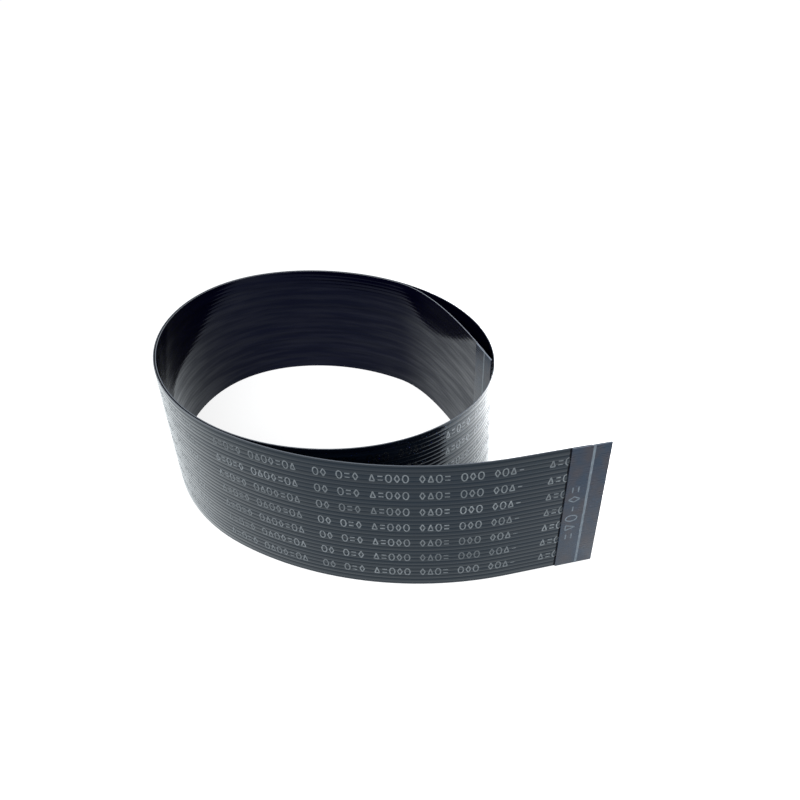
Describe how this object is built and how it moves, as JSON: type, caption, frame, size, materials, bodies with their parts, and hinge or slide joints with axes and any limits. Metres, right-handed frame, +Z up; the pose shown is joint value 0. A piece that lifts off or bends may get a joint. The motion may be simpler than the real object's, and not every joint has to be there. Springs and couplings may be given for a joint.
{
  "type": "flat flexible ribbon cable",
  "caption": "Flat flexible ribbon cable with stiffened contact ends, standing on its long edge in a loose coil.",
  "frame": {"origin": "middle of the coiled cable's box, on the surface that its lower edge stands on", "axes": "+Z up, across the cable's width; +X towards the free end's tip; -Y towards the side that the free end's outer face looks to"},
  "size_m": [0.0964, 0.0864, 0.031],
  "materials": {
    "film": "satin black polyester film with fine ridges over the conductors",
    "stiffener": "smooth dark blue-grey polyester tape",
    "tinned_copper": "bright tin plate on copper"
  },
  "bodies": {
    "root": {"outer_film": "film", "inner_film": "film", "free_end_stiffener": "stiffener", "inner_end_stiffener": "stiffener", "conductor_01": "tinned_copper", "conductor_02": "tinned_copper", "conductor_03": "tinned_copper", "conductor_04": "tinned_copper", "conductor_05": "tinned_copper", "conductor_06": "tinned_copper", "conductor_07": "tinned_copper", "conductor_08": "tinned_copper", "conductor_09": "tinned_copper", "conductor_10": "tinned_copper", "conductor_11": "tinned_copper", "conductor_12": "tinned_copper", "conductor_13": "tinned_copper", "conductor_14": "tinned_copper", "conductor_15": "tinned_copper", "conductor_16": "tinned_copper", "conductor_17": "tinned_copper", "conductor_18": "tinned_copper", "conductor_19": "tinned_copper", "conductor_20": "tinned_copper", "conductor_21": "tinned_copper", "conductor_22": "tinned_copper", "conductor_23": "tinned_copper", "conductor_24": "tinned_copper", "conductor_25": "tinned_copper", "conductor_26": "tinned_copper", "conductor_27": "tinned_copper", "conductor_28": "tinned_copper", "conductor_29": "tinned_copper", "conductor_30": "tinned_copper"}
  },
  "joints": []
}
